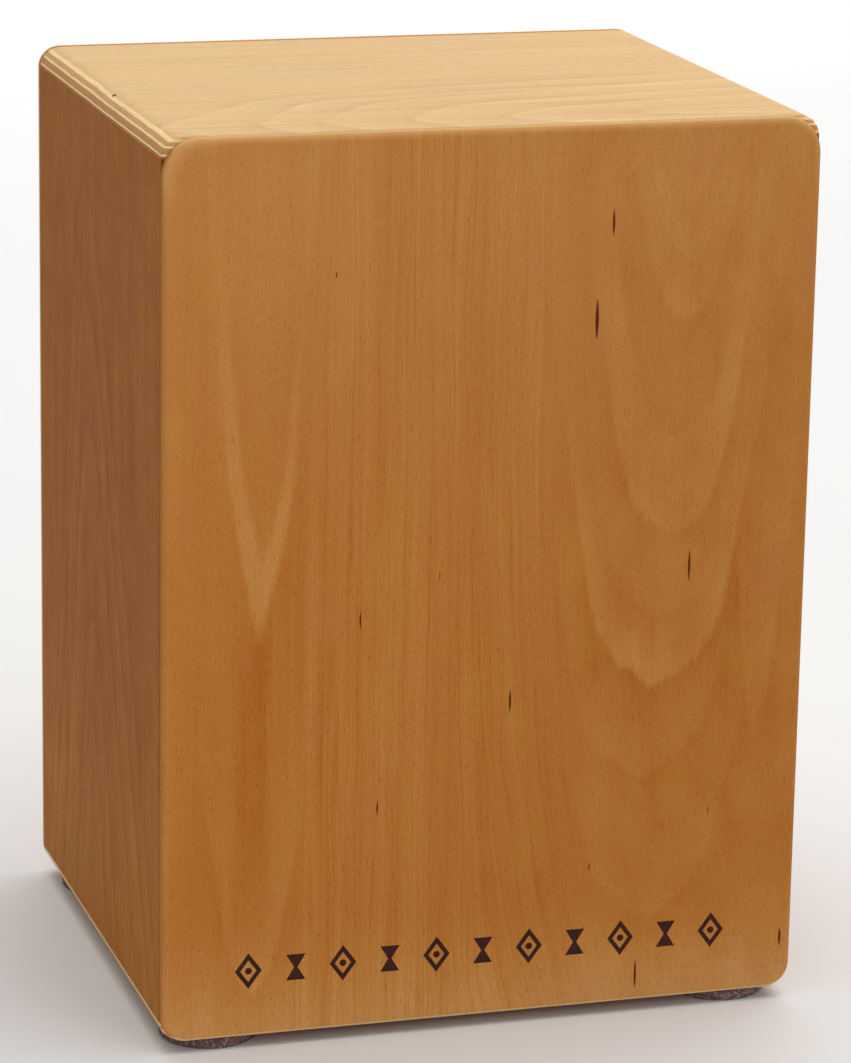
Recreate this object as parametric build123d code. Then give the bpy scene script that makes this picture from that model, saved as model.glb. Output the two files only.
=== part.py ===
from build123d import *
import os
from math import cos, radians, sin

# Cajon: a children's-size box drum. Four plywood panels make the carcass, a thin striking plate
# is glued over its front, a back plate with a sound hole is screwed over its back, and four felt
# discs carry it. Inside, two rows of snare coils stand on a bar that swings away from the
# striking plate when its lever is pushed down.
#
# Millimetres. Origin on the floor under the middle of the box, +Z up, the striking plate
# towards -Y, +X to the right for someone facing the striking plate.

# ---------------------------------------------------------------- driving dimensions

WIDTH = 300.0
BOX_HEIGHT = 410.0
DEPTH = 256.0
PANEL = 9.0                   # carcass plywood
STRIKE_PLATE = 3.0            # striking plate plywood
BACK_PLATE = 4.0              # back plate plywood
CORNER_RADIUS = 10.0          # long edges of the carcass
STRIKE_TOP_RADIUS = 17.0      # upper corners of the striking plate, well inside the carcass's
STRIKE_BOTTOM_RADIUS = 12.0   # its lower corners
STRIKE_EDGE_RADIUS = 2.7      # front edge of the striking plate
RIM_RADIUS = 2.0              # front and back outer edges of the carcass
BACK_EDGE_RADIUS = 1.2

FELT_DIAMETER = 45.0
FELT_THICKNESS = 5.0
FELT_EDGE_RADIUS = 1.0
ADHESIVE_DIAMETER = 43.0
ADHESIVE_THICKNESS = 0.5
FOOT_INSET_X = 27.5           # box side to foot centre
FOOT_INSET_Y = 25.0           # box front or back to foot centre

SOUND_HOLE_DIAMETER = 115.0
SOUND_HOLE_HEIGHT = 250.0     # centre above the floor
SOUND_HOLE_EDGE_RADIUS = 1.2

BATTEN = 14.0                 # square corner battens
BATTEN_LENGTH = 228.0
BATTEN_CHAMFER = 3.0

DOWEL_DIAMETER = 4.0
DOWEL_LENGTH = 20.0
DOWEL_IN_COVER = 4.0          # depth in the top or bottom panel, short of its rounded edge
DOWEL_INSET = 4.0             # from the side's inner face to the dowel's axis
DOWEL_CHAMFER = 0.6
DOWEL_ROWS = (-95.0, 0.0, 95.0)

GLUE_GAP = 0.05               # round a dowel, pin or screw, on the radius
END_GAP = 0.5                 # at the bottom of a blind hole

BACK_SCREW_DIAMETER = 3.0
BACK_SCREW_HEAD = 6.0
BACK_SCREW_LENGTH = 16.0
BACK_SCREW_SIDE_OFFSETS = (-165.0, -55.0, 55.0, 165.0)
BACK_SCREW_COVER_OFFSETS = (-75.0, 75.0)

PIVOT_HEIGHT = 290.0          # snare bar axis above the floor
PIVOT_TO_STRIKE_PLATE = 15.4  # snare bar axis behind the striking plate
BAR_DEPTH = 24.0
BAR_HEIGHT = 18.0
BAR_EDGE_RADIUS = 1.0
SNARE_THROW = 28.0            # degrees from coils on to coils off

BLOCK_THICKNESS = 12.0
BLOCK_FRONT = 13.4            # pivot block in front of the axis
BLOCK_REAR = 20.0             # pivot block behind the axis
BLOCK_HEIGHT = 34.0
BLOCK_CORNER_RADIUS = 4.0
BLOCK_SCREW_DIAMETER = 3.5
BLOCK_SCREW_HEAD = 7.0
BLOCK_SCREW_LENGTH = 18.0
BLOCK_SCREW_PLACES = ((-7.0, 11.0), (13.0, -11.0))   # y and z from the axis

PIVOT_PIN_DIAMETER = 6.0
PIVOT_PIN_LENGTH = 31.0
PIVOT_PIN_IN_BAR = 20.0
RUNNING_GAP = 0.05
WASHER_DIAMETER = 11.0
WASHER_BORE = 6.2
WASHER_THICKNESS = 1.5
WASHER_GAP = 0.1

STOP_PIN_DIAMETER = 4.0
STOP_PIN_LENGTH = 15.0
STOP_PIN_IN_BAR = 8.5
STOP_PIN_OFFSET = 8.0         # from the pivot axis
STOP_SLOT_GAP = 0.3
STOP_SLOT_DEPTH = 6.0

SNARE_OFFSET = 80.0           # snare plate centres, left and right of the middle
COILS_PER_SNARE = 10
COIL_PITCH = 3.8
COIL_DIAMETER = 2.2
COIL_LENGTH = 100.0
SNARE_PLATE_THICKNESS = 0.8
SNARE_PLATE_HEIGHT = 12.0
SNARE_PLATE_EAR = 10.0        # plate beyond the outer coils, each end
SNARE_PLATE_CORNER_RADIUS = 2.0
PLATE_SCREW_DIAMETER = 2.5
PLATE_SCREW_HEAD = 5.0
PLATE_SCREW_HEAD_HEIGHT = 1.5
PLATE_SCREW_LENGTH = 12.0

LEVER_DIAMETER = 10.0
LEVER_REACH = 120.0           # rod end behind the axis
LEVER_IN_BAR = 11.0
LEVER_IN_KNOB = 12.0
KNOB_DIAMETER = 26.0

# A burnt ornament along the foot of the striking plate.
ORNAMENT_DEPTH = 0.3
ORNAMENT_HEIGHT = 17.0
ORNAMENT_BASE = 23.0          # above the plate's lower edge
ORNAMENT_PITCH = 22.0
ORNAMENT_MARKS = 11
ORNAMENT_DIAMOND_WIDTH = 12.5
ORNAMENT_STROKE = 2.0
ORNAMENT_HOURGLASS_WIDTH = 9.0
ORNAMENT_WAIST = 1.6
ORNAMENT_DOT = 3.2

# ---------------------------------------------------------------- derived places

FOOT_HEIGHT = FELT_THICKNESS + ADHESIVE_THICKNESS
FLOOR_PANEL_BOTTOM = FOOT_HEIGHT
BOX_TOP = FOOT_HEIGHT + BOX_HEIGHT
BOX_MIDDLE = FOOT_HEIGHT + BOX_HEIGHT / 2
FRONT = -DEPTH / 2
BACK = DEPTH / 2
CARCASS_FRONT = FRONT + STRIKE_PLATE
CARCASS_BACK = BACK - BACK_PLATE
HALF_WIDTH = WIDTH / 2
INNER_HALF_WIDTH = HALF_WIDTH - PANEL
INNER_BOTTOM = FLOOR_PANEL_BOTTOM + PANEL
INNER_TOP = BOX_TOP - PANEL
SIDE_MIDDLE_X = HALF_WIDTH - PANEL / 2
DOWEL_X = INNER_HALF_WIDTH + DOWEL_INSET
PIVOT_Y = CARCASS_FRONT + PIVOT_TO_STRIKE_PLATE
BLOCK_FACE_X = INNER_HALF_WIDTH - BLOCK_THICKNESS
BAR_END_X = BLOCK_FACE_X - WASHER_THICKNESS - 2 * WASHER_GAP
BAR_FRONT_Y = PIVOT_Y - BAR_DEPTH / 2
PLATE_FRONT_Y = BAR_FRONT_Y - SNARE_PLATE_THICKNESS
COIL_ROW_WIDTH = (COILS_PER_SNARE - 1) * COIL_PITCH + COIL_DIAMETER
SNARE_PLATE_LENGTH = COIL_ROW_WIDTH + 2 * SNARE_PLATE_EAR
PLATE_SCREW_OFFSET = SNARE_PLATE_LENGTH / 2 - SNARE_PLATE_EAR / 2


# ---------------------------------------------------------------- shared shapes

def slab(x, y, z):
    """Box between two values on each axis; each argument is (low, high)."""
    centre = ((x[0] + x[1]) / 2, (y[0] + y[1]) / 2, (z[0] + z[1]) / 2)
    return Pos(*centre) * Box(x[1] - x[0], y[1] - y[0], z[1] - z[0])


def prism_y(outline, front, back):
    """Solid with an outline in X and Z, from y = front to y = back."""
    plane = Plane(origin=(0, back, 0), x_dir=(1, 0, 0), z_dir=(0, -1, 0))
    return extrude(plane * outline, amount=back - front)


def rod_x(x, y, z, diameter):
    """Cylinder along X, between the two values of x."""
    middle = (x[0] + x[1]) / 2
    return Pos(middle, y, z) * Rot(0, 90, 0) * Cylinder(diameter / 2, x[1] - x[0])


def rod_y(x, y, z, diameter):
    """Cylinder along Y, between the two values of y."""
    middle = (y[0] + y[1]) / 2
    return Pos(x, middle, z) * Rot(90, 0, 0) * Cylinder(diameter / 2, y[1] - y[0])


def rod_z(x, y, z, diameter):
    """Cylinder along Z, between the two values of z."""
    middle = (z[0] + z[1]) / 2
    return Pos(x, y, middle) * Cylinder(diameter / 2, z[1] - z[0])


def cross_recess(head_diameter):
    """Cross-shaped driver recess, centred on the origin and going down from z = 0."""
    arm = head_diameter * 0.55
    blade = head_diameter * 0.14
    depth = head_diameter * 0.2
    bar = Box(arm, blade, 2 * depth)
    return bar + Rot(0, 0, 90) * bar


def wood_screw(diameter, head_diameter, length):
    """Countersunk screw with its head's flat face on z = 0 and its point down -Z."""
    head_height = (head_diameter - diameter) / 2
    point = diameter
    shank_top = -head_height
    tip = -length
    profile = Polyline(
        (0, 0),
        (head_diameter / 2, 0),
        (diameter / 2, shank_top),
        (diameter / 2, tip + point),
        (0.3, tip),
        (0, tip),
        close=True,
    )
    return revolve(make_face(Plane.XZ * profile), Axis.Z) - cross_recess(head_diameter)


def screw_hole(diameter, head_diameter, length):
    """Space for a wood_screw in the same place, a little larger all round."""
    radius = diameter / 2 + GLUE_GAP
    head_radius = head_diameter / 2 + GLUE_GAP
    profile = Polyline(
        (0, 1),
        (head_radius, 1),
        (head_radius, 0),
        (radius, -(head_radius - radius)),
        (radius, -length - END_GAP),
        (0, -length - END_GAP),
        close=True,
    )
    return revolve(make_face(Plane.XZ * profile), Axis.Z)


def mirrored(shape):
    """The same shape on the other side of the middle plane."""
    return mirror(shape, about=Plane.YZ)


# ---------------------------------------------------------------- places of repeated parts

def dowel_places(cover):
    """Dowels between the sides and the "top" or "bottom" cover, as (x, y, low z, high z)."""
    places = []
    for side in (-1, 1):
        for y in DOWEL_ROWS:
            if cover == "top":
                high = INNER_TOP + DOWEL_IN_COVER
                places.append((side * DOWEL_X, y, high - DOWEL_LENGTH, high))
            else:
                low = INNER_BOTTOM - DOWEL_IN_COVER
                places.append((side * DOWEL_X, y, low, low + DOWEL_LENGTH))
    return places


def back_screw_places():
    """The back plate's screws, in the middle of the carcass edges, as (x, z)."""
    places = []
    for side in (-1, 1):
        for offset in BACK_SCREW_SIDE_OFFSETS:
            places.append((side * SIDE_MIDDLE_X, BOX_MIDDLE + offset))
        for offset in BACK_SCREW_COVER_OFFSETS:
            places.append((offset, BOX_MIDDLE + side * (BOX_HEIGHT / 2 - PANEL / 2)))
    return places


def at_back_screws(shape):
    """Copies of a shape built down -Z, turned to go in from the back plate's outer face."""
    return [Pos(x, BACK, z) * Rot(-90, 0, 0) * shape for x, z in back_screw_places()]


def at_block_screws(shape, side):
    """Copies of a shape built down -Z, going through one pivot block into the side."""
    turn = Rot(0, -90 * side, 0)
    return [
        Pos(side * BLOCK_FACE_X, PIVOT_Y + y, PIVOT_HEIGHT + z) * turn * shape
        for y, z in BLOCK_SCREW_PLACES
    ]


def at_plate_screws(shape, side):
    """Copies of a shape built down -Z, going through one snare plate into the bar."""
    centre = side * SNARE_OFFSET
    return [
        Pos(centre + offset, PLATE_FRONT_Y, PIVOT_HEIGHT) * Rot(90, 0, 0) * shape
        for offset in (-PLATE_SCREW_OFFSET, PLATE_SCREW_OFFSET)
    ]


def foot_places():
    """Foot centres as name to (x, y)."""
    x = HALF_WIDTH - FOOT_INSET_X
    y = DEPTH / 2 - FOOT_INSET_Y
    return {
        "front_left": (-x, -y),
        "front_right": (x, -y),
        "back_left": (-x, y),
        "back_right": (x, y),
    }


# ---------------------------------------------------------------- carcass

def carcass_block():
    """The carcass as one block: its rounded outline, with eased front and back edges."""
    outline = Pos(0, BOX_MIDDLE) * RectangleRounded(WIDTH, BOX_HEIGHT, CORNER_RADIUS)
    block = prism_y(outline, CARCASS_FRONT, CARCASS_BACK)
    ends = block.faces().filter_by(Axis.Y)
    return fillet(ends.edges(), RIM_RADIUS)


def back_screw_holes():
    """All the space that the back plate's screws need, for cutting any part they pass."""
    return at_back_screws(screw_hole(BACK_SCREW_DIAMETER, BACK_SCREW_HEAD, BACK_SCREW_LENGTH))


def dowel_holes():
    """Blind holes for all dowels, a little longer than the dowels at each end."""
    holes = []
    for x, y, low, high in dowel_places("top") + dowel_places("bottom"):
        holes.append(rod_z(x, y, (low - END_GAP, high + END_GAP), DOWEL_DIAMETER + 2 * GLUE_GAP))
    return holes


def carcass_panel(x, z):
    """One carcass panel between two values of x and two of z, bored for dowels and screws."""
    panel = carcass_block() & slab(x, (CARCASS_FRONT, CARCASS_BACK), z)
    return panel - dowel_holes() - back_screw_holes()


def top_panel():
    return carcass_panel((-HALF_WIDTH, HALF_WIDTH), (INNER_TOP, BOX_TOP))


def bottom_panel():
    return carcass_panel((-HALF_WIDTH, HALF_WIDTH), (FLOOR_PANEL_BOTTOM, INNER_BOTTOM))


def left_side():
    panel = carcass_panel((-HALF_WIDTH, -INNER_HALF_WIDTH), (INNER_BOTTOM, INNER_TOP))
    hole = screw_hole(BLOCK_SCREW_DIAMETER, BLOCK_SCREW_HEAD, BLOCK_SCREW_LENGTH)
    return panel - at_block_screws(hole, -1)


def right_side():
    return mirrored(left_side())


def dowels(cover):
    """The six dowels of one cover, with chamfered ends."""
    pegs = []
    for x, y, low, high in dowel_places(cover):
        peg = rod_z(x, y, (low, high), DOWEL_DIAMETER)
        pegs.append(chamfer(peg.edges().filter_by(GeomType.CIRCLE), DOWEL_CHAMFER))
    return Compound(children=pegs)


def batten(side, cover):
    """Square strip glued into a corner between a side and the top or bottom panel."""
    inner = side * (INNER_HALF_WIDTH - BATTEN)
    outer = side * INNER_HALF_WIDTH
    if cover == "top":
        z = (INNER_TOP - BATTEN, INNER_TOP)
        free_z = z[0]
    else:
        z = (INNER_BOTTOM, INNER_BOTTOM + BATTEN)
        free_z = z[1]
    middle_y = (CARCASS_FRONT + CARCASS_BACK) / 2
    y = (middle_y - BATTEN_LENGTH / 2, middle_y + BATTEN_LENGTH / 2)
    strip = slab((min(inner, outer), max(inner, outer)), y, z)
    long_edges = strip.edges().filter_by(Axis.Y)
    free_edge = long_edges.sort_by_distance((inner, middle_y, free_z))[0]
    return chamfer(free_edge, BATTEN_CHAMFER)


# ---------------------------------------------------------------- front and back plates

def diamond(width, height):
    """Upright diamond centred on the origin."""
    outline = Polyline(
        (-width / 2, 0),
        (0, -height / 2),
        (width / 2, 0),
        (0, height / 2),
        close=True,
    )
    return make_face(outline)


def open_diamond():
    """Diamond ring with a dot in it."""
    width = ORNAMENT_DIAMOND_WIDTH
    height = ORNAMENT_HEIGHT
    inner_width = width - 2 * ORNAMENT_STROKE * (width**2 + height**2) ** 0.5 / height
    inner_height = inner_width * height / width
    return diamond(width, height) - diamond(inner_width, inner_height) + Circle(ORNAMENT_DOT / 2)


def hourglass():
    """Two triangles that meet at a narrow waist."""
    half_width = ORNAMENT_HOURGLASS_WIDTH / 2
    half_height = ORNAMENT_HEIGHT * 0.36
    waist = ORNAMENT_WAIST / 2
    outline = Polyline(
        (-half_width, -half_height),
        (half_width, -half_height),
        (waist, 0),
        (half_width, half_height),
        (-half_width, half_height),
        (-waist, 0),
        close=True,
    )
    return make_face(outline)


def ornament():
    """The burnt row: open diamonds and hourglasses in turn, centred on the plate."""
    height = FLOOR_PANEL_BOTTOM + ORNAMENT_BASE + ORNAMENT_HEIGHT / 2
    first = -(ORNAMENT_MARKS - 1) / 2
    marks = []
    for number in range(ORNAMENT_MARKS):
        mark = open_diamond() if number % 2 == 0 else hourglass()
        place = Pos((first + number) * ORNAMENT_PITCH, height)
        marks.append(prism_y(place * mark, FRONT - 1, FRONT + ORNAMENT_DEPTH))
    return marks


def front_plate():
    """The striking plate, with a rounded front edge and the sunk ornament."""
    outline = Rectangle(WIDTH, BOX_HEIGHT)
    low_corners = outline.vertices().group_by(Axis.Y)[0]
    outline = fillet(low_corners, STRIKE_BOTTOM_RADIUS)
    high_corners = outline.vertices().group_by(Axis.Y)[-1]
    outline = fillet(high_corners, STRIKE_TOP_RADIUS)
    plate = prism_y(Pos(0, BOX_MIDDLE) * outline, FRONT, CARCASS_FRONT)
    front_face = plate.faces().sort_by(Axis.Y)[0]
    plate = fillet(front_face.edges(), STRIKE_EDGE_RADIUS)
    return plate - ornament()


def back_plate():
    """The back plate, with its sound hole and countersunk screw holes."""
    outline = RectangleRounded(WIDTH, BOX_HEIGHT, CORNER_RADIUS)
    plate = prism_y(Pos(0, BOX_MIDDLE) * outline, CARCASS_BACK, BACK)
    back_face = plate.faces().sort_by(Axis.Y)[-1]
    plate = fillet(back_face.edges(), BACK_EDGE_RADIUS)
    hole = rod_y(0, (CARCASS_BACK - 1, BACK + 1), SOUND_HOLE_HEIGHT, SOUND_HOLE_DIAMETER)
    plate = plate - hole
    rims = [
        edge
        for edge in plate.edges().filter_by(GeomType.CIRCLE)
        if abs(edge.radius - SOUND_HOLE_DIAMETER / 2) < 0.01
    ]
    plate = fillet(rims, SOUND_HOLE_EDGE_RADIUS)
    return plate - back_screw_holes()


def back_plate_screws():
    screw = wood_screw(BACK_SCREW_DIAMETER, BACK_SCREW_HEAD, BACK_SCREW_LENGTH)
    return Compound(children=at_back_screws(screw))


# ---------------------------------------------------------------- feet

def felt_foot(x, y):
    """Felt disc with a softened lower edge."""
    disc = rod_z(x, y, (0, FELT_THICKNESS), FELT_DIAMETER)
    lower_edge = disc.edges().sort_by(Axis.Z)[0]
    return fillet(lower_edge, FELT_EDGE_RADIUS)


def foot_adhesive_discs():
    discs = []
    for x, y in foot_places().values():
        discs.append(rod_z(x, y, (FELT_THICKNESS, FOOT_HEIGHT), ADHESIVE_DIAMETER))
    return Compound(children=discs)


# ---------------------------------------------------------------- snare bar and its pivots

def stop_slot():
    """Curved slot in the left block's inner face that the stop pin travels in."""
    width = STOP_PIN_DIAMETER + 2 * STOP_SLOT_GAP
    x = (-BLOCK_FACE_X - STOP_SLOT_DEPTH, -BLOCK_FACE_X + 1)
    steps = 8
    slot = []
    for step in range(steps + 1):
        angle = radians(SNARE_THROW * step / steps)
        y = PIVOT_Y + STOP_PIN_OFFSET * cos(angle)
        z = PIVOT_HEIGHT - STOP_PIN_OFFSET * sin(angle)
        slot.append(rod_x(x, y, z, width))
    return slot


def pivot_block(side):
    """Nylon block on a side panel, bored for the pivot pin and two screws."""
    x = sorted((side * BLOCK_FACE_X, side * INNER_HALF_WIDTH))
    y = (PIVOT_Y - BLOCK_FRONT, PIVOT_Y + BLOCK_REAR)
    z = (PIVOT_HEIGHT - BLOCK_HEIGHT / 2, PIVOT_HEIGHT + BLOCK_HEIGHT / 2)
    block = slab(x, y, z)
    block = fillet(block.edges().filter_by(Axis.X), BLOCK_CORNER_RADIUS)
    bore = PIVOT_PIN_DIAMETER + 2 * RUNNING_GAP
    block -= rod_x((x[0] - 1, x[1] + 1), PIVOT_Y, PIVOT_HEIGHT, bore)
    hole = screw_hole(BLOCK_SCREW_DIAMETER, BLOCK_SCREW_HEAD, BLOCK_SCREW_LENGTH)
    block -= at_block_screws(hole, side)
    if side < 0:
        block -= stop_slot()
    return block


def pivot_block_screws():
    screw = wood_screw(BLOCK_SCREW_DIAMETER, BLOCK_SCREW_HEAD, BLOCK_SCREW_LENGTH)
    return Compound(children=at_block_screws(screw, -1) + at_block_screws(screw, 1))


def friction_washers():
    """Felt washers between the bar's ends and the blocks."""
    washers = []
    for side in (-1, 1):
        near = side * (BAR_END_X + WASHER_GAP)
        far = side * (BAR_END_X + WASHER_GAP + WASHER_THICKNESS)
        x = (min(near, far), max(near, far))
        disc = rod_x(x, PIVOT_Y, PIVOT_HEIGHT, WASHER_DIAMETER)
        bore = rod_x((x[0] - 1, x[1] + 1), PIVOT_Y, PIVOT_HEIGHT, WASHER_BORE)
        washers.append(disc - bore)
    return Compound(children=washers)


def pivot_pin(side):
    """Steel pin fixed in the bar's end and turning in the block."""
    inner = side * (BAR_END_X - PIVOT_PIN_IN_BAR)
    outer = side * (BAR_END_X - PIVOT_PIN_IN_BAR + PIVOT_PIN_LENGTH)
    pin = rod_x((min(inner, outer), max(inner, outer)), PIVOT_Y, PIVOT_HEIGHT, PIVOT_PIN_DIAMETER)
    return chamfer(pin.edges().filter_by(GeomType.CIRCLE), 0.5)


def stop_pin():
    """Steel pin in the bar's left end that limits the throw in the block's slot."""
    inner = -(BAR_END_X - STOP_PIN_IN_BAR)
    outer = inner - STOP_PIN_LENGTH
    pin = rod_x((outer, inner), PIVOT_Y + STOP_PIN_OFFSET, PIVOT_HEIGHT, STOP_PIN_DIAMETER)
    return chamfer(pin.edges().filter_by(GeomType.CIRCLE), 0.3)


def snare_bar():
    """Beech bar across the box, bored for pins, lever and plate screws."""
    y = (PIVOT_Y - BAR_DEPTH / 2, PIVOT_Y + BAR_DEPTH / 2)
    z = (PIVOT_HEIGHT - BAR_HEIGHT / 2, PIVOT_HEIGHT + BAR_HEIGHT / 2)
    bar = slab((-BAR_END_X, BAR_END_X), y, z)
    bar = fillet(bar.edges().filter_by(Axis.X), BAR_EDGE_RADIUS)
    pin_bore = PIVOT_PIN_DIAMETER + 2 * GLUE_GAP
    for side in (-1, 1):
        bottom = side * (BAR_END_X - PIVOT_PIN_IN_BAR - END_GAP)
        mouth = side * (BAR_END_X + 1)
        x = (min(bottom, mouth), max(bottom, mouth))
        bar -= rod_x(x, PIVOT_Y, PIVOT_HEIGHT, pin_bore)
        hole = rod_z(0, 0, (-PLATE_SCREW_LENGTH - END_GAP, 1), PLATE_SCREW_DIAMETER + 2 * GLUE_GAP)
        bar -= at_plate_screws(hole, side)
    stop_x = (-BAR_END_X - 1, -BAR_END_X + STOP_PIN_IN_BAR + END_GAP)
    bar -= rod_x(stop_x, PIVOT_Y + STOP_PIN_OFFSET, PIVOT_HEIGHT, STOP_PIN_DIAMETER + 2 * GLUE_GAP)
    lever_y = (y[1] - LEVER_IN_BAR - END_GAP, y[1] + 1)
    return bar - rod_y(0, lever_y, PIVOT_HEIGHT, LEVER_DIAMETER + 2 * GLUE_GAP)


def snare_lever():
    """Beech rod from the bar towards the sound hole."""
    y = (PIVOT_Y + BAR_DEPTH / 2 - LEVER_IN_BAR, PIVOT_Y + LEVER_REACH)
    lever = rod_y(0, y, PIVOT_HEIGHT, LEVER_DIAMETER)
    return chamfer(lever.edges().filter_by(GeomType.CIRCLE), 1.0)


def lever_knob():
    """Round wooden knob glued on the end of the lever."""
    rod_end = PIVOT_Y + LEVER_REACH
    centre = rod_end - LEVER_IN_KNOB + (KNOB_DIAMETER**2 - LEVER_DIAMETER**2) ** 0.5 / 2
    ball = Pos(0, centre, PIVOT_HEIGHT) * Sphere(KNOB_DIAMETER / 2)
    hole = rod_y(
        0,
        (centre - KNOB_DIAMETER, rod_end + END_GAP),
        PIVOT_HEIGHT,
        LEVER_DIAMETER + 2 * GLUE_GAP,
    )
    return ball - hole


# ---------------------------------------------------------------- snares

def snare_plate(side):
    """Thin steel plate that holds one row of coils."""
    outline = RectangleRounded(SNARE_PLATE_LENGTH, SNARE_PLATE_HEIGHT, SNARE_PLATE_CORNER_RADIUS)
    place = Pos(side * SNARE_OFFSET, PIVOT_HEIGHT)
    plate = prism_y(place * outline, PLATE_FRONT_Y, BAR_FRONT_Y)
    hole = rod_z(0, 0, (-5, 1), PLATE_SCREW_DIAMETER + 2 * GLUE_GAP)
    return plate - at_plate_screws(hole, side)


def plate_screw():
    """Pan-head screw with the underside of its head on z = 0 and its point down -Z."""
    shank_radius = PLATE_SCREW_DIAMETER / 2
    tip = -PLATE_SCREW_LENGTH
    profile = Polyline(
        (0, PLATE_SCREW_HEAD_HEIGHT),
        (PLATE_SCREW_HEAD * 0.35, PLATE_SCREW_HEAD_HEIGHT),
        (PLATE_SCREW_HEAD / 2, PLATE_SCREW_HEAD_HEIGHT * 0.5),
        (PLATE_SCREW_HEAD / 2, 0),
        (shank_radius, 0),
        (shank_radius, tip + PLATE_SCREW_DIAMETER),
        (0.3, tip),
        (0, tip),
        close=True,
    )
    screw = revolve(make_face(Plane.XZ * profile), Axis.Z)
    return screw - Pos(0, 0, PLATE_SCREW_HEAD_HEIGHT) * cross_recess(PLATE_SCREW_HEAD)


def snare_plate_screws():
    screw = plate_screw()
    return Compound(children=at_plate_screws(screw, -1) + at_plate_screws(screw, 1))


def snare_coils(side):
    """One row of snare coils, as plain rods of the coils' outside diameter."""
    y = PLATE_FRONT_Y - COIL_DIAMETER / 2
    z = (PIVOT_HEIGHT, PIVOT_HEIGHT + COIL_LENGTH)
    first = side * SNARE_OFFSET - (COILS_PER_SNARE - 1) / 2 * COIL_PITCH
    return Compound(
        children=[
            rod_z(first + number * COIL_PITCH, y, z, COIL_DIAMETER)
            for number in range(COILS_PER_SNARE)
        ]
    )


# ---------------------------------------------------------------- all nodes

def all_parts():
    """Every node of the cajon, as name to shape."""
    parts = {
        "front_plate": front_plate(),
        "back_plate": back_plate(),
        "top_panel": top_panel(),
        "bottom_panel": bottom_panel(),
        "left_side": left_side(),
        "right_side": right_side(),
        "top_dowels": dowels("top"),
        "bottom_dowels": dowels("bottom"),
        "back_plate_screws": back_plate_screws(),
        "foot_adhesive_discs": foot_adhesive_discs(),
        "snare_bar": snare_bar(),
        "stop_pin": stop_pin(),
        "friction_washers": friction_washers(),
        "pivot_block_screws": pivot_block_screws(),
        "snare_plate_screws": snare_plate_screws(),
        "snare_lever": snare_lever(),
        "lever_knob": lever_knob(),
    }
    for side, word in ((-1, "left"), (1, "right")):
        parts[f"batten_top_{word}"] = batten(side, "top")
        parts[f"batten_bottom_{word}"] = batten(side, "bottom")
        parts[f"pivot_block_{word}"] = pivot_block(side)
        parts[f"pivot_pin_{word}"] = pivot_pin(side)
        parts[f"snare_plate_{word}"] = snare_plate(side)
        parts[f"snare_coils_{word}"] = snare_coils(side)
    for word, (x, y) in foot_places().items():
        parts[f"felt_foot_{word}"] = felt_foot(x, y)
    return parts


os.makedirs("parts", exist_ok=True)
for node, shape in all_parts().items():
    export_step(shape, f"parts/{node}.step")
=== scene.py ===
import math
import random

import bmesh
import bpy
from mathutils import Matrix, Vector


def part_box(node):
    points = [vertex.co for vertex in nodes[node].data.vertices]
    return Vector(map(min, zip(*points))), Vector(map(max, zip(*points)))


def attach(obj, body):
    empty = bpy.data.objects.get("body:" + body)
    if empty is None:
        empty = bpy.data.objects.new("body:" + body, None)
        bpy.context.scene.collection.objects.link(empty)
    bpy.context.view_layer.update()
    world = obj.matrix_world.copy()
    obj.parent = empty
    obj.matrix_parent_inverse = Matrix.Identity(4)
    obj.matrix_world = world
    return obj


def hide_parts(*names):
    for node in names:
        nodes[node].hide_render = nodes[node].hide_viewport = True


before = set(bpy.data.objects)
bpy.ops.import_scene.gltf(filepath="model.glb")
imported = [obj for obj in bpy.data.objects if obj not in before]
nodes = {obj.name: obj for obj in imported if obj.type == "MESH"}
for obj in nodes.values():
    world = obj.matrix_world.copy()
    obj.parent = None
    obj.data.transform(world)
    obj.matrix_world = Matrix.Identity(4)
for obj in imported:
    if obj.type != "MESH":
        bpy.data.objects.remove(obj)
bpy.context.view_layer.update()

# Cajon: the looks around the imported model. Metres, origin on the floor under the middle of the
# box, +Z up, the striking plate towards -Y. Materials work in millimetres of that same frame.

MM = 0.001

# ---------------------------------------------------------------- sizes read from the frame


def box_mm(node):
    """Lowest and highest corner of a CAD node, in millimetres."""
    low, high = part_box(node)
    return low / MM, high / MM


PLATE_LOW, PLATE_HIGH = box_mm("front_plate")
FRONT = PLATE_LOW.y
BACK = box_mm("back_plate")[1].y
BOX_BOTTOM = PLATE_LOW.z
BOX_TOP = PLATE_HIGH.z
HALF_WIDTH = PLATE_HIGH.x

STRIKE_THICKNESS = 3.0
STRIKE_CORNER = 17.0          # radius of the striking plate's upper corners
ORNAMENT_DEPTH = 0.3          # sunk into the striking plate
ORNAMENT_HALF_WIDTH = 125.0
ORNAMENT_BOTTOM = BOX_BOTTOM + 10.0
ORNAMENT_TOP = BOX_BOTTOM + 60.0


# ---------------------------------------------------------------- node graphs with arithmetic

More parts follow.
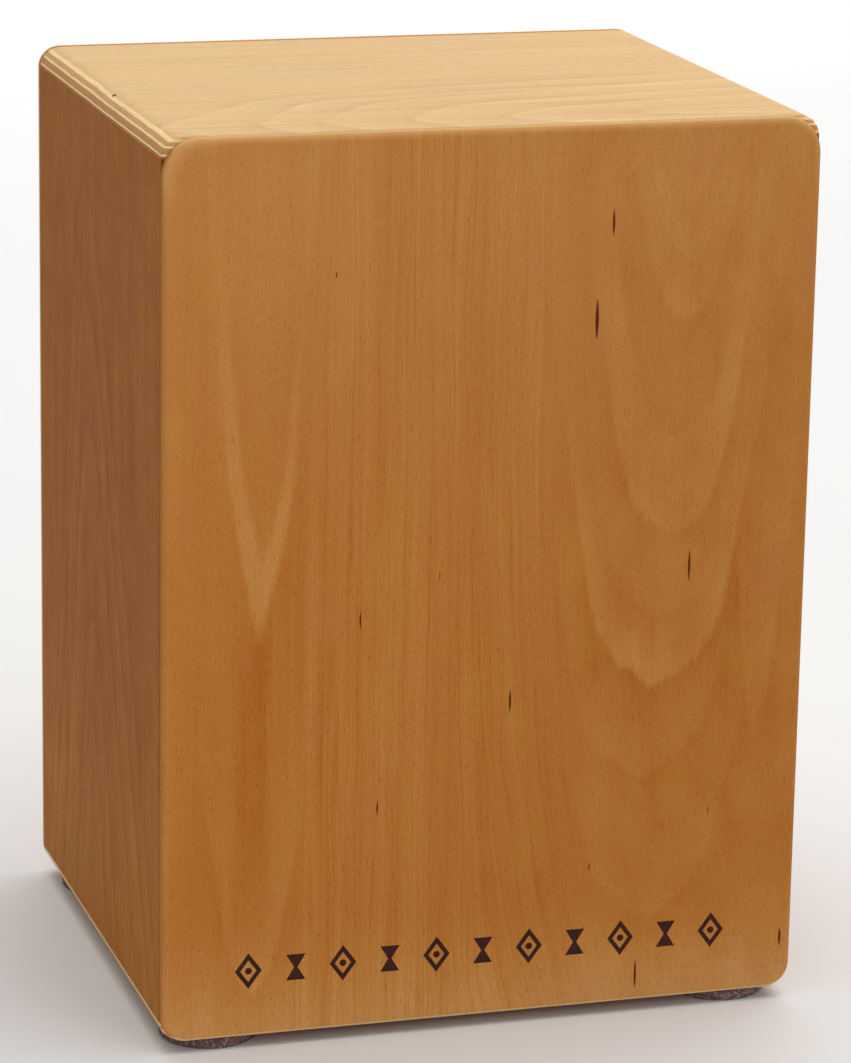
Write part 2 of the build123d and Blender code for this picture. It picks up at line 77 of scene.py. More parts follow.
class Value:
    """A number that varies over a surface: a socket that arithmetic can be done with."""

    def __init__(self, graph, socket):
        self.graph = graph
        self.socket = socket

    def __add__(self, other):
        return self.graph.math("ADD", self, other)

    def __radd__(self, other):
        return self.graph.math("ADD", other, self)

    def __sub__(self, other):
        return self.graph.math("SUBTRACT", self, other)

    def __rsub__(self, other):
        return self.graph.math("SUBTRACT", other, self)

    def __mul__(self, other):
        return self.graph.math("MULTIPLY", self, other)

    def __rmul__(self, other):
        return self.graph.math("MULTIPLY", other, self)

    def __truediv__(self, other):
        return self.graph.math("DIVIDE", self, other)

    def __pow__(self, other):
        return self.graph.math("POWER", self, other)

    def __neg__(self):
        return self.graph.math("MULTIPLY", self, -1.0)

    def abs(self):
        return self.graph.math("ABSOLUTE", self)

    def sqrt(self):
        return self.graph.math("SQRT", self)

    def fraction(self):
        return self.graph.math("FRACT", self)

    def low(self, other):
        return self.graph.math("MINIMUM", self, other)

    def high(self, other):
        return self.graph.math("MAXIMUM", self, other)

    def step(self, start, end):
        """0 before start and 1 after end, smooth between; start may be above end."""
        return self.graph.step(self, start, end)


class Graph:
    """A material's node tree, with short ways to add the nodes that the finishes use."""

    def __init__(self, name):
        self.material = bpy.data.materials.new(name)
        self.material.use_nodes = True
        self.tree = self.material.node_tree
        self.shader = self.tree.nodes["Principled BSDF"]
        coordinates = self.tree.nodes.new("ShaderNodeTexCoord")
        split = self.tree.nodes.new("ShaderNodeSeparateXYZ")
        scale = self.tree.nodes.new("ShaderNodeVectorMath")
        scale.operation = "SCALE"
        scale.inputs["Scale"].default_value = 1 / MM
        self.link(coordinates.outputs["Object"], scale.inputs[0])
        self.link(scale.outputs[0], split.inputs[0])
        self.x = Value(self, split.outputs[0])
        self.y = Value(self, split.outputs[1])
        self.z = Value(self, split.outputs[2])

    def link(self, source, target):
        self.tree.links.new(source, target)

    def feed(self, value, target):
        """Puts a Value, a socket or a plain number into an input socket."""
        if isinstance(value, Value):
            self.link(value.socket, target)
        elif isinstance(value, bpy.types.NodeSocket):
            self.link(value, target)
        else:
            target.default_value = value

    def math(self, operation, *values):
        node = self.tree.nodes.new("ShaderNodeMath")
        node.operation = operation
        for value, target in zip(values, node.inputs):
            self.feed(value, target)
        return Value(self, node.outputs[0])

    def step(self, value, start, end):
        node = self.tree.nodes.new("ShaderNodeMapRange")
        node.interpolation_type = "SMOOTHSTEP"
        if start < end:
            low, high, first, last = start, end, 0.0, 1.0
        else:
            low, high, first, last = end, start, 1.0, 0.0
        self.feed(value, node.inputs["Value"])
        node.inputs["From Min"].default_value = low
        node.inputs["From Max"].default_value = high
        node.inputs["To Min"].default_value = first
        node.inputs["To Max"].default_value = last
        return Value(self, node.outputs["Result"])

    def vector(self, x, y, z):
        node = self.tree.nodes.new("ShaderNodeCombineXYZ")
        for value, target in zip((x, y, z), node.inputs):
            self.feed(value, target)
        return node.outputs[0]

    def noise(self, x, y, z=0.0, detail=2.0, roughness=0.5):
        """Smooth noise from about -0.5 to 0.5; a coordinate grows by 1 over one blob."""
        node = self.tree.nodes.new("ShaderNodeTexNoise")
        node.inputs["Scale"].default_value = 1.0
        node.inputs["Detail"].default_value = detail
        node.inputs["Roughness"].default_value = roughness
        self.link(self.vector(x, y, z), node.inputs["Vector"])
        return Value(self, node.outputs["Fac"]) - 0.5

    def cells(self, x, y):
        """Scattered points, one to a unit cell: the distance to the nearest, and its own luck."""
        node = self.tree.nodes.new("ShaderNodeTexVoronoi")
        node.inputs["Scale"].default_value = 1.0
        self.link(self.vector(x, y, 0.0), node.inputs["Vector"])
        split = self.tree.nodes.new("ShaderNodeSeparateColor")
        self.link(node.outputs["Color"], split.inputs[0])
        return Value(self, node.outputs["Distance"]), Value(self, split.outputs[0])

    def ramp(self, value, stops, steps=False):
        """Colour that follows a value; stops are (place from 0 to 1, linear colour)."""
        node = self.tree.nodes.new("ShaderNodeValToRGB")
        node.color_ramp.interpolation = "CONSTANT" if steps else "LINEAR"
        elements = node.color_ramp.elements
        while len(elements) < len(stops):
            elements.new(0.5)
        for element, (place, colour) in zip(elements, stops):
            element.position = place
            element.color = (*colour, 1.0)
        self.feed(value, node.inputs[0])
        return node.outputs["Color"]

    def levels(self, value, stops):
        """A number that follows a value; stops are (place from 0 to 1, number from 0 to 1)."""
        colour = self.ramp(value, [(place, (level,) * 3) for place, level in stops])
        node = self.tree.nodes.new("ShaderNodeSeparateColor")
        self.link(colour, node.inputs[0])
        return Value(self, node.outputs[0])

    def mix(self, share, first, second):
        """One colour or the other, by share from 0 to 1."""
        node = self.tree.nodes.new("ShaderNodeMix")
        node.data_type = "RGBA"
        node.clamp_factor = True
        self.feed(share, node.inputs["Factor"])
        for value, target in ((first, node.inputs["A"]), (second, node.inputs["B"])):
            if isinstance(value, tuple):
                target.default_value = (*value, 1.0)
            else:
                self.link(value, target)
        return node.outputs["Result"]

    def brighten(self, colour, factor):
        """A colour times a number."""
        node = self.tree.nodes.new("ShaderNodeVectorMath")
        node.operation = "SCALE"
        self.link(colour, node.inputs[0])
        self.feed(factor, node.inputs["Scale"])
        return node.outputs[0]

    def finish(self, colour, roughness, height=None, bump_mm=0.05, bump_strength=0.5, **plain):
        """Connects the surface; plain values go straight on the shader's own sockets."""
        self.link(colour, self.shader.inputs["Base Color"])
        self.feed(roughness, self.shader.inputs["Roughness"])
        if height is not None:
            bump = self.tree.nodes.new("ShaderNodeBump")
            bump.inputs["Distance"].default_value = bump_mm * MM
            bump.inputs["Strength"].default_value = bump_strength
            self.feed(height, bump.inputs["Height"])
            self.link(bump.outputs["Normal"], self.shader.inputs["Normal"])
        for name, value in plain.items():
            self.shader.inputs[name.replace("_", " ")].default_value = value
        return self.material


def shade(red, green, blue):
    """A linear colour from the 0 to 255 values that a screen shows."""
    return tuple(
        (c / 255 / 12.92) if c <= 10 else ((c / 255 + 0.055) / 1.055) ** 2.4
        for c in (red, green, blue)
    )


# ---------------------------------------------------------------- wood

# Colours of the oiled beech, from its darkest growth lines to its palest bands.
HONEY = (
    (0.0, shade(167, 89, 15)),
    (0.28, shade(183, 111, 38)),
    (0.5, shade(190, 121, 51)),
    (0.72, shade(197, 133, 64)),
    (1.0, shade(209, 151, 88)),
)
# The top's colours: a paler beech veneer, with painted sheen from the light above.
PALE_HONEY_AND_SHEEN = (
    (0.0, shade(190, 140, 76)),
    (0.28, shade(200, 155, 88)),
    (0.5, shade(205, 163, 99)),
    (0.72, shade(210, 171, 110)),
    (1.0, shade(218, 185, 131)),
)
SIDE_HONEY = (
    (0.0, shade(150, 80, 8)),
    (0.28, shade(162, 94, 24)),
    (0.5, shade(168, 102, 33)),
    (0.72, shade(175, 111, 42)),
    (1.0, shade(186, 124, 56)),
)
PALE_WEAR = shade(226, 182, 122)
PINK_HONEY = shade(194, 120, 66)
GOLD_HONEY = shade(194, 134, 56)
GOLD_PALE = shade(210, 166, 90)
RED_SIDE = shade(168, 96, 40)
RAW_BEECH = ((0.0, shade(184, 138, 96)), (0.5, shade(208, 168, 124)), (1.0, shade(224, 192, 152)))
PORE = shade(134, 60, 8)
MINERAL_STREAK = shade(88, 20, 0)
JOINT_DARK_AND_SHADOW = shade(96, 44, 20)

FIRST_PLY = shade(238, 205, 148)
LIGHT_PLY = shade(248, 218, 160)
TAN_PLY = shade(208, 156, 100)
BROWN_PLY = shade(204, 142, 86)
EDGE_VENEER = shade(176, 112, 58)
GLUE_LINE = shade(138, 84, 44)
GLUE_LINE_WIDTH = 0.08

# The 9 mm board's plies from its outer face to its inner face, in millimetres. The first has
# the face's own colour.
BOARD_PLIES = (
    (0.95, None),
    (1.3, FIRST_PLY),
    (1.35, TAN_PLY),
    (1.1, LIGHT_PLY),
    (2.4, BROWN_PLY),
    (1.05, LIGHT_PLY),
    (0.85, EDGE_VENEER),
)
# The bottom's bands are set for the pale, brown and pale lines that its edge shows. They add up to
# the board's 9 mm, but they are no real board's plies.
BOTTOM_PLIES = (
    (0.95, None),
    (1.3, FIRST_PLY),
    (1.2, TAN_PLY),
    (2.95, LIGHT_PLY),
    (0.9, BROWN_PLY),
    (1.4, LIGHT_PLY),
    (0.3, EDGE_VENEER),
)
BACK_PLIES = ((0.7, None), (1.3, LIGHT_PLY), (1.3, TAN_PLY), (0.7, EDGE_VENEER))

# How much paler or darker the wood is at a depth inside a growth line (negative is outside).
LINE_DEPTHS = (-24.0, 24.0)
BROAD_LINE = (
    (-24.0, 0.5),
    (-11.0, 0.42),
    (-4.0, 0.2),
    (-1.3, 0.09),
    (1.3, 0.84),
    (4.0, 0.82),
    (12.0, 0.68),
    (24.0, 0.56),
)
FINE_LINE = (
    (-14.0, 0.5),
    (-4.5, 0.34),
    (-1.8, 0.04),
    (-0.4, 0.1),
    (1.4, 0.84),
    (5.0, 0.72),
    (14.0, 0.54),
    (20.0, 0.5),
)


def contour(across, along, centre, tip, slope, width, steep, lean=0.0):
    """Depth in mm inside one growth line of a cathedral figure: negative is outside it.

    The line is an arch whose tip is at centre, tip. It climbs slope mm along the grain to 1 mm
    across it, and steeper from width mm off centre. lean narrows one side and widens the other.
    """
    off = across - centre
    side = (off * off + 9.0).sqrt() + lean * off
    past = side - width
    bent = (past * past + 36.0).sqrt()
    start = slope * 3.0 + 0.5 * steep * (3.0 - width + math.hypot(3.0 - width, 6.0))
    rise = slope * side + 0.5 * steep * (past + bent) - start
    incline = slope + 0.5 * steep * (1.0 + past / bent)
    return (along - tip - rise) / (1.0 + incline * incline).sqrt()


def cathedral(g, across, along, lines, profile, seed, reach=None):
    """Adds up the shading of a figure's growth lines; each line is contour()'s sizes, then its
    strength. The lines fade and return along their length, and beyond reach mm from the tip
    they are faint."""
    low, high = LINE_DEPTHS
    stops = [((depth - low) / (high - low), level) for depth, level in profile]
    total = 0.0
    fade = (0.8 + 1.5 * g.noise(across / 26 + seed, along / 60)).high(0.15)
    for *sizes, strength in lines:
        depth = contour(across, along, *sizes)
        level = g.levels((depth - low) / (high - low), stops) - 0.5
        if reach:
            level = level * (0.2 + 0.8 * (along - sizes[1]).step(1.5 * reach, 0.5 * reach))
        total = total + strength * level
    return total * fade


def streaks(g, across, along, seed):
    """Shading in long soft streaks along the grain."""
    broad = g.noise(across / 9 + seed, along / 420, detail=1)
    middle = g.noise(across / 2.7 + seed, along / 260, detail=2)
    thin = g.noise(across / 0.9 + seed, along / 90, detail=2)
    line = g.noise(across / 3.6 + seed, along / 500 + 9.0, detail=2).abs().step(0.035, 0.0)
    return 0.45 * broad + 0.5 * middle + 0.5 * thin - 0.22 * line


def fibres(g, across, along, seed):
    """Fine wood fibre and short dark pore dashes: (shade change, pore depth)."""
    fine = g.noise(across / 0.6, along / 4 + seed, detail=3)
    speck = g.noise(across / 0.42, along / 1.1 + seed, detail=2)
    blotch = g.noise(across / 40, along / 90 + seed, detail=2)
    distance, luck = g.cells(across / 0.8 + 0.4 * blotch, along / 7 + seed)
    dash = distance.step(0.3, 0.08) * luck.step(0.45, 0.9)
    distance, luck = g.cells(across / 0.55, along / 3.1 + seed)
    tick = distance.step(0.36, 0.1) * luck.step(0.15, 0.8)
    pores = (dash + 0.6 * tick).low(1.0)
    change = 0.95 * fine + 1.1 * speck + 0.25 * blotch
    return change, pores


def plies_by_depth(g, depth, plies):
    """Colour of the bare plies on a board's edge: rough-cut bands with glue lines between."""
    total = sum(thickness for thickness, _ in plies)
    wavy = 0.8 * g.noise(g.x / 45, g.y / 45, g.z / 45) + 0.2 * g.noise(g.x / 7, g.y / 7, g.z / 7)
    ragged = depth + wavy + 0.14 * g.noise(g.x / 0.6, g.y / 0.9, g.z / 0.6)
    stops = []
    place = 0.0
    for thickness, colour in plies:
        stops.append((place / total, colour or plies[1][1]))
        place += thickness
        if colour:
            stops.append(((place - GLUE_LINE_WIDTH) / total, GLUE_LINE))
    core = g.ramp(ragged / total, stops[:-1], steps=True)
    grit = 1.0 + 0.5 * g.noise(g.x / 0.35, g.y / 0.35, g.z / 0.35, detail=2)
    streak = 1.0 + 0.55 * g.noise(g.x / 1.2, g.y / 14, g.z / 0.5, detail=2)
    first = plies[0][0]
    is_core = ragged.step(first - 0.03, first + 0.03) * depth.step(total - 0.04, total - 0.2)
    return g.brighten(g.brighten(core, grit), streak), is_core


def lens_mark(across, along, place, up, half_width, half_length):
    """1 inside a mineral streak, a thin lens along the grain, and 0 outside it."""
    t = ((along - up) / half_length).abs().low(1.0)
    width = half_width * (1.0 - t * t)
    offset = (across - place).abs()
    return (width - offset).step(-0.14, 0.2) * t.step(1.0, 0.9)


STRIKE_SEED = 2.0

# Mineral streaks of the striking plate: across, up from the plate's foot, half width, half length.
STRIKE_MARKS = (
    (53.3, 366.0, 0.6, 6.5),
    (46.7, 322.7, 0.85, 9.5),
    (93.7, 207.3, 0.6, 8.0),
    (-60.0, 191.7, 0.42, 4.5),
    (10.3, 149.3, 0.58, 6.0),
    (-51.0, 103.7, 0.42, 4.0),
    (50.0, 67.3, 0.35, 2.0),
    (73.7, 13.3, 0.6, 7.5),
    (144.3, 25.0, 0.65, 4.8),
    (-72.7, 348.0, 0.32, 1.6),
    (106.7, 90.0, 0.26, 2.6),
    (-23.7, 210.0, 0.22, 2.4),
)

# Growth lines of each face: across, along, slope, width, steep, lean, strength.
STRIKE_LINES = (
    (79.0, 152.0, 0.62, 30.0, 6.0, 0.0, 1.15),
    (84.0, 222.0, 0.6, 22.0, 6.0, 0.0, 0.8),
    (88.0, 320.0, 0.8, 16.0, 5.0, 0.0, 0.5),
    (89.0, 372.0, 1.0, 10.0, 4.0, 0.0, 0.32),
    (78.0, 40.0, 0.9, 30.0, 4.0, 0.0, 0.42),
    (82.0, 184.0, 0.6, 26.0, 6.0, 0.0, 0.34),
    (86.0, 268.0, 0.7, 19.0, 6.0, 0.0, -0.4),
    (88.0, 346.0, 0.9, 13.0, 5.0, 0.0, 0.3),
    (74.0, 108.0, 0.7, 32.0, 6.0, 0.0, 0.36),
    (128.0, 128.0, 3.2, 8.0, 12.0, 0.0, 0.5),
    (-106.0, 188.0, 3.6, 15.0, 14.0, 0.0, 1.0),
    (-105.0, 224.0, 3.0, 11.0, 12.0, 0.0, -0.75),
    (-108.0, 20.0, 1.4, 14.0, 8.0, 0.0, 0.6),
)
TOP_LINES = (
    (-103.0, -148.0, 1.0, 69.0, 6.0, 0.0, 0.8),
    (-103.0, -101.0, 0.62, 60.0, 10.0, 0.0, 1.0),
    (-103.0, -73.0, 0.7, 48.0, 5.0, 0.0, 0.8),
    (-102.0, -32.0, 0.75, 37.0, 8.0, 0.0, 1.0),
    (-103.0, 12.0, 0.9, 22.0, 7.0, 0.0, 1.0),
    (-103.0, 72.0, 1.4, 9.0, 7.0, 0.0, 0.9),
)
LEFT_LINES = (
    (-28.0, -362.0, 0.6, 14.0, 3.2, -0.3, 0.6),
    (-26.0, -308.0, 0.6, 14.0, 3.2, -0.3, 0.72),
    (-20.0, -250.0, 0.6, 13.0, 3.4, -0.25, 0.72),
    (-12.0, -160.0, 0.7, 10.0, 4.0, -0.2, 0.6),
    (-12.0, -108.0, 0.8, 8.0, 4.5, -0.1, 0.45),
)
RIGHT_LINES = (
    (22.0, 60.0, 0.6, 17.0, 3.6, 0.25, 0.9),
    (20.0, 128.0, 0.6, 15.0, 3.6, 0.25, 1.0),
    (15.0, 206.0, 0.7, 13.0, 3.8, 0.2, 0.9),
    (13.0, 262.0, 0.7, 11.0, 4.0, 0.15, 0.8),
    (10.0, 331.0, 0.8, 8.0, 4.4, 0.1, 0.8),
)
BOTTOM_LINES = (
    (36.0, -120.0, 0.7, 46.0, 7.0, 0.1, 0.9),
    (34.0, -64.0, 0.7, 34.0, 7.0, 0.1, 1.0),
    (33.0, 4.0, 0.8, 22.0, 6.0, 0.0, 0.9),
    (31.0, 76.0, 1.1, 12.0, 6.0, 0.0, 0.9),
)
BACK_LINES = (
    (-58.0, -390.0, 0.7, 20.0, 5.0, 0.1, 0.9),
    (-56.0, -318.0, 0.7, 20.0, 5.0, 0.1, 1.0),
    (-54.0, -255.0, 0.8, 18.0, 5.0, 0.0, 0.9),
    (-50.0, -180.0, 0.9, 15.0, 5.0, 0.0, 0.9),
    (-49.0, -96.0, 1.0, 11.0, 5.0, 0.0, 0.8),
    (96.0, -340.0, 2.6, 14.0, 9.0, 0.0, 0.8),
    (98.0, -170.0, 2.6, 12.0, 9.0, 0.0, 0.7),
)


def feathered(g, across, along, wander, seed):
    """Grain coordinates that wander a little, with growth lines frayed along the fibres."""
    drift = g.noise(across / 38 + seed, along / 150) + 0.8 * g.noise(across / 16 + seed, along / 60)
    fray = g.noise(across / 0.8, along / 14 + seed, detail=3)
    ripple = g.noise(across / 8 + seed, along / 40, detail=2)
    return across + wander * (drift + 0.2 * ripple), along + 9.0 * fray + 9.0 * ripple


def worn_rim(g, up):
    """How far the striking plate's finish is worn pale round its outline: most along the top."""
    half_height = (BOX_TOP - BOX_BOTTOM) / 2
    x = g.x.abs() - (HALF_WIDTH - STRIKE_CORNER)
    z = (up - half_height).abs() - (half_height - STRIKE_CORNER)
    past_x = x.high(0.0)
    past_z = z.high(0.0)
    outside = (past_x * past_x + past_z * past_z).sqrt() + x.high(z).low(0.0) - STRIKE_CORNER
    wavy = outside + 3.0 * g.noise(g.x / 9, up / 9, detail=4)
    top = up.step(2 * half_height - 34.0, 2 * half_height - 14.0)
    near = 0.8 * wavy.step(-4.6, -1.0)
    near = near + 0.5 * g.x.step(-118.0, -140.0) * wavy.step(-9.0, -4.0)
    return near.low(1.0) * (0.12 + 0.88 * top)


def strike_tone(g, up, change):
    """Place from 0 to 1 in the striking plate's palette: its figure, streaks and clouds."""
    across, along = feathered(g, g.x, up, 5.0, STRIKE_SEED)
    figure = cathedral(g, across, along, STRIKE_LINES, BROAD_LINE, STRIKE_SEED, reach=90.0)

    # The straight lines lean to the right round the foot of the broad cathedral.
    drop = ((270.0 - up) / 200.0).high(0.0)
    shift = 9.0 * drop + 7.0 * drop**3.0
    upright = across - shift * g.x.step(-35.0, 40.0) * g.x.step(120.0, 60.0)
    straight = streaks(g, upright, up, STRIKE_SEED + 1.0)
    busy = 0.35 + 0.75 * upright.step(-96.0, -84.0) * upright.step(34.0, 14.0)
    busy = busy * (1.0 - 0.5 * g.x.step(0.0, 40.0) * up.step(170.0, 70.0))

    # A dark tail hangs below the narrow cathedral on the left.
    tail = (g.x + 109.0 + 9.0 * g.noise(g.x / 2.5, up / 45, detail=2)).abs().step(11.0, 4.0)
    tail = tail * (along + 12.0 * g.noise(g.x / 3, up / 30)).step(30.0, 96.0)
    tail = tail * along.step(200.0, 170.0)

    tone = 0.46 + 0.56 * figure + 0.7 * straight * busy - 0.2 * tail + 0.5 * change
    tone = tone + 0.3 * g.noise(g.x / 34, up / 260, detail=1)
    # The head is a little paler; the foot is paler still, which is painted light bounced up from
    # the floor.
    tone = tone + 0.12 * up.step(290.0, 410.0) + 0.55 * up.step(60.0, -10.0)
    return tone + 0.45 * g.noise(g.x / 15, up / 30, detail=3) * g.x.step(20.0, 70.0)


def strike_face(g, up, depth, tone, pores):
    """Colour of the striking plate's face, with its worn rim and its mineral streaks."""
    patch = g.noise(g.x / 30 + 4.0, up / 62, detail=3)
    face = g.mix(0.4 * patch.step(0.02, 0.26), g.ramp(tone, HONEY), PINK_HONEY)
    face = g.mix(0.4 * patch.step(-0.02, -0.26), face, GOLD_HONEY)
    face = g.mix(0.55 * pores, face, PORE)
    face = g.mix(0.08 * up.step(150.0, 400.0), face, PALE_WEAR)
    face = g.mix(0.36 * worn_rim(g, up), face, PALE_WEAR)

    # The rounding is worn through to the pale core all along the foot; the pale specks on the left
    # rounding are painted highlight.
    left_rim_highlight = g.x.step(3.0 - HALF_WIDTH, 1.5 - HALF_WIDTH)
    left_rim_highlight = left_rim_highlight * (0.5 * g.noise(up / 40, up / 2.2, detail=3)).high(0.0)
    wear_and_highlight = (0.8 * up.step(4.0, 2.0)).high(left_rim_highlight).low(1.0)
    face = g.mix(wear_and_highlight * depth.step(0.05, 0.45), face, FIRST_PLY)
    # A little darker towards the right and paler towards the left: painted shade and light.
    face = g.brighten(face, 1.0 - 0.065 * (g.x / HALF_WIDTH))

    marks = 0.0
    for place, height, half_width, half_length in STRIKE_MARKS:
        marks = marks + lens_mark(g.x, up, place, height, half_width, half_length)
    return g.mix(0.95 * marks, face, MINERAL_STREAK)


def strike_veneer():
    """Striking plate: upright grain, a broad cathedral right, a narrow one left, lines between."""
    g = Graph("strike_veneer")
    up = g.z - BOX_BOTTOM
    depth = g.y - FRONT
    change, pores = fibres(g, g.x, up, STRIKE_SEED)
    tone = strike_tone(g, up, change)
    face = strike_face(g, up, depth, tone, pores)
    inner = g.mix(0.3 * pores, g.ramp(tone, RAW_BEECH), PORE)

    # Round the edge the core shows: dark end grain at the sides, pale at the top and foot.
    ragged = depth + 0.5 * g.noise(g.x / 1.2, g.y / 0.5, g.z / 1.2, detail=2)
    at_side = g.x.abs().step(HALF_WIDTH - 7.0, HALF_WIDTH - 3.0)
    edge = g.mix(at_side, shade(208, 166, 112), shade(190, 124, 60))
    edge = g.brighten(edge, 1.0 + 0.4 * g.noise(g.x / 0.5, g.y / 0.4, g.z / 0.5, detail=2))
    is_edge = ragged.step(0.7, 1.6)
    colour = g.mix(is_edge, g.mix(is_edge, face, edge), edge)
    # Along the back of the edge, where it meets the box: a dark edge, with painted shadow of the
    # joint's gap.
    colour = g.mix(0.8 * (depth - 0.3 * ragged).step(1.7, 1.95), colour, JOINT_DARK_AND_SHADOW)
    is_back = depth.step(STRIKE_THICKNESS - 0.015, STRIKE_THICKNESS - 0.005)
    colour = g.mix(is_back, colour, inner)
    roughness = 0.46 + 0.08 * change + 0.12 * pores + 0.2 * is_edge
    height = change - 0.4 * pores
    return g.finish(colour, roughness, height, bump_mm=0.03, Specular_IOR_Level=0.1)


BURNT = ((0.0, shade(36, 18, 16)), (0.6, shade(66, 32, 24)), (1.0, shade(98, 54, 34)))


def burnt():
    """The scorched floor and walls of the ornament."""
    g = Graph("burnt_wood")
    char = g.noise(g.x / 1.4, g.z / 5, g.y, detail=3)
    grain = g.noise(g.x / 0.4, g.z / 9, detail=3)
    tone = 0.5 + 0.9 * char + 0.8 * grain
    colour = g.ramp(tone, BURNT)
    return g.finish(colour, 0.75 + 0.1 * char, tone, bump_mm=0.12, Specular_IOR_Level=0.2)


CHIP_Y = -11.0
CHIP_DEPTH = 1.0              # below the top face
CHIP_HALF_LENGTH = 1.7
CHIP_HALF_HEIGHT = 0.5


def board(
    name,
    across,
    along,
    depth,
    plies,
    lines,
    colours,
    contrast,
    rough,
    specular,
    seed,
    drift=None,
    patches=None,
):
    """Plywood board: a veneer with its growth lines on the faces, bare plies on the edges.

    across, along and depth name how the frame's coordinates run on this board: a function of
    the graph each. A cathedral opens along the growing "along". contrast is the figure's, and
    drift is a function of the graph too, for a slow change of tone over the board, and patches
    a colour that the veneer has in places.
    """
    g = Graph(name)
    u = across(g)
    v = along(g)
    grain, length = feathered(g, u, v, 3.0, seed)
    figure = cathedral(g, grain, length, lines, FINE_LINE, seed)
    straight = streaks(g, grain, v, seed)
    change, pores = fibres(g, grain, v, seed)
    tone = 0.5 + contrast * (0.44 * figure + 0.6 * straight + 0.75 * change)
    if drift:
        tone = tone + drift(g)
    face = g.ramp(tone, colours)
    if patches:
        where = g.noise(u / 34 + seed, v / 80, detail=3)
        face = g.mix(0.5 * where.step(-0.08, 0.22), face, patches)
    face = g.mix(0.4 * pores, face, PORE)
    inner = g.mix(0.2 * pores, g.ramp(tone, RAW_BEECH), PORE)
    from_face = depth(g)
    thickness = sum(ply for ply, _ in plies)
    face = g.mix(from_face.step(thickness / 2 - 0.1, thickness / 2 + 0.1), face, inner)
    bare, is_core = plies_by_depth(g, from_face, plies)
    # At the front rim the sides are dark where the striking plate is glued on: a dark edge, with
    # painted shadow of the joint's gap.
    if name.endswith("side_board"):
        is_core = is_core * g.y.step(FRONT + 5.2, FRONT + 5.8)
        face = g.mix(0.75 * g.y.step(FRONT + 4.2, FRONT + 3.6), face, JOINT_DARK_AND_SHADOW)
    # A small chip in the top's left edge.
    if name == "top_board":
        chip = ((g.y - CHIP_Y) / CHIP_HALF_LENGTH) ** 2.0
        chip = chip + ((from_face - CHIP_DEPTH) / CHIP_HALF_HEIGHT) ** 2.0
        chip = chip.step(1.2, 0.8) * g.x.step(9.0 - HALF_WIDTH, 8.0 - HALF_WIDTH)
        bare = g.mix(chip, bare, shade(50, 26, 14))
        is_core = is_core.high(chip)
    colour = g.mix(is_core, face, bare)
    roughness = rough + 0.08 * change + 0.1 * pores + 0.2 * is_core
    height = change - 0.8 * pores - 0.5 * is_core
    return g.finish(colour, roughness, height, bump_mm=0.03, Specular_IOR_Level=specular)


def top_board():
    return board(
        "top_board",
        across=lambda g: g.y,
        along=lambda g: g.x,
        depth=lambda g: BOX_TOP - g.z,
        plies=BOARD_PLIES,
        lines=TOP_LINES,
        colours=PALE_HONEY_AND_SHEEN,
        contrast=1.7,
        rough=0.4,
        specular=0.12,
        seed=11.0,
        patches=GOLD_PALE,
    )


def bottom_board():
    return board(
        "bottom_board",
        across=lambda g: g.y,
        along=lambda g: g.x,
        depth=lambda g: g.z - BOX_BOTTOM,
        plies=BOTTOM_PLIES,
        lines=BOTTOM_LINES,
        colours=HONEY,
        contrast=1.2,
        rough=0.5,
        specular=0.1,
        seed=23.0,
    )


def left_drift(g):
    """The left side is a little cloudy, and paler towards its head and the front; it is paler
    towards its foot too, which is painted light bounced up from the floor.
    """
    low = 0.44 * g.z.step(170.0, 20.0)
    high = 0.08 * g.z.step(300.0, 410.0)
    front = 0.12 * g.y.step(-60.0, -120.0)
    clouds = 0.7 * g.noise(g.y / 16, g.z / 26, detail=3)
    return low + high + front + clouds - 0.14


def left_board():
    return board(
        "left_side_board",
        across=lambda g: -g.y,
        along=lambda g: BOX_BOTTOM - g.z,
        depth=lambda g: g.x + HALF_WIDTH,
        plies=BOARD_PLIES,
        lines=LEFT_LINES,
        colours=SIDE_HONEY,
        contrast=1.95,
        rough=0.55,
        specular=0.03,
        seed=37.0,
        drift=left_drift,
        patches=RED_SIDE,
    )


def right_board():
    return board(
        "right_side_board",
        across=lambda g: g.y,
        along=lambda g: g.z - BOX_BOTTOM,
        depth=lambda g: HALF_WIDTH - g.x,
        plies=BOARD_PLIES,
        lines=RIGHT_LINES,
        colours=SIDE_HONEY,
        contrast=1.3,
        rough=0.5,
        specular=0.1,
        seed=51.0,
        patches=RED_SIDE,
    )


def back_board():
    return board(
        "back_board",
        across=lambda g: g.x,
        along=lambda g: BOX_BOTTOM - g.z,
        depth=lambda g: BACK - g.y,
        plies=BACK_PLIES,
        lines=BACK_LINES,
        colours=HONEY,
        contrast=1.1,
        rough=0.45,
        specular=0.2,
        seed=67.0,
    )


def solid_wood(name, axes, colours, ring_width, roughness, seed):
    """Solid timber: rings across the grain, fibres and pores along it.

    axes names the frame's axes on this piece: two across the grain, then the one along it.
    """
    g = Graph(name)
    u, w, v = ({"x": g.x, "y": g.y, "z": g.z}[axis] for axis in axes)
    radius = ((u + 31.0) * (u + 31.0) + (w + 17.0) * (w + 17.0)).sqrt()
    bend = 1.5 * g.noise(u / 25 + seed, w / 25, v / 120)
    part = ((radius + bend) / ring_width).fraction()
    ring = g.levels(part, ((0.0, 0.7), (0.6, 0.5), (0.92, 0.16), (1.0, 0.6)))
    change, pores = fibres(g, u + 0.7 * w, v, seed)
    tone = 0.5 + 0.6 * (ring - 0.5) + 0.8 * change
    colour = g.brighten(g.ramp(tone, colours), 1.0 - 0.18 * pores)
    return g.finish(colour, roughness + 0.1 * change, change - 0.8 * pores, Specular_IOR_Level=0.3)


SPRUCE = ((0.0, shade(188, 140, 84)), (0.5, shade(220, 184, 130)), (1.0, shade(236, 208, 160)))


# ---------------------------------------------------------------- metal, nylon, felt

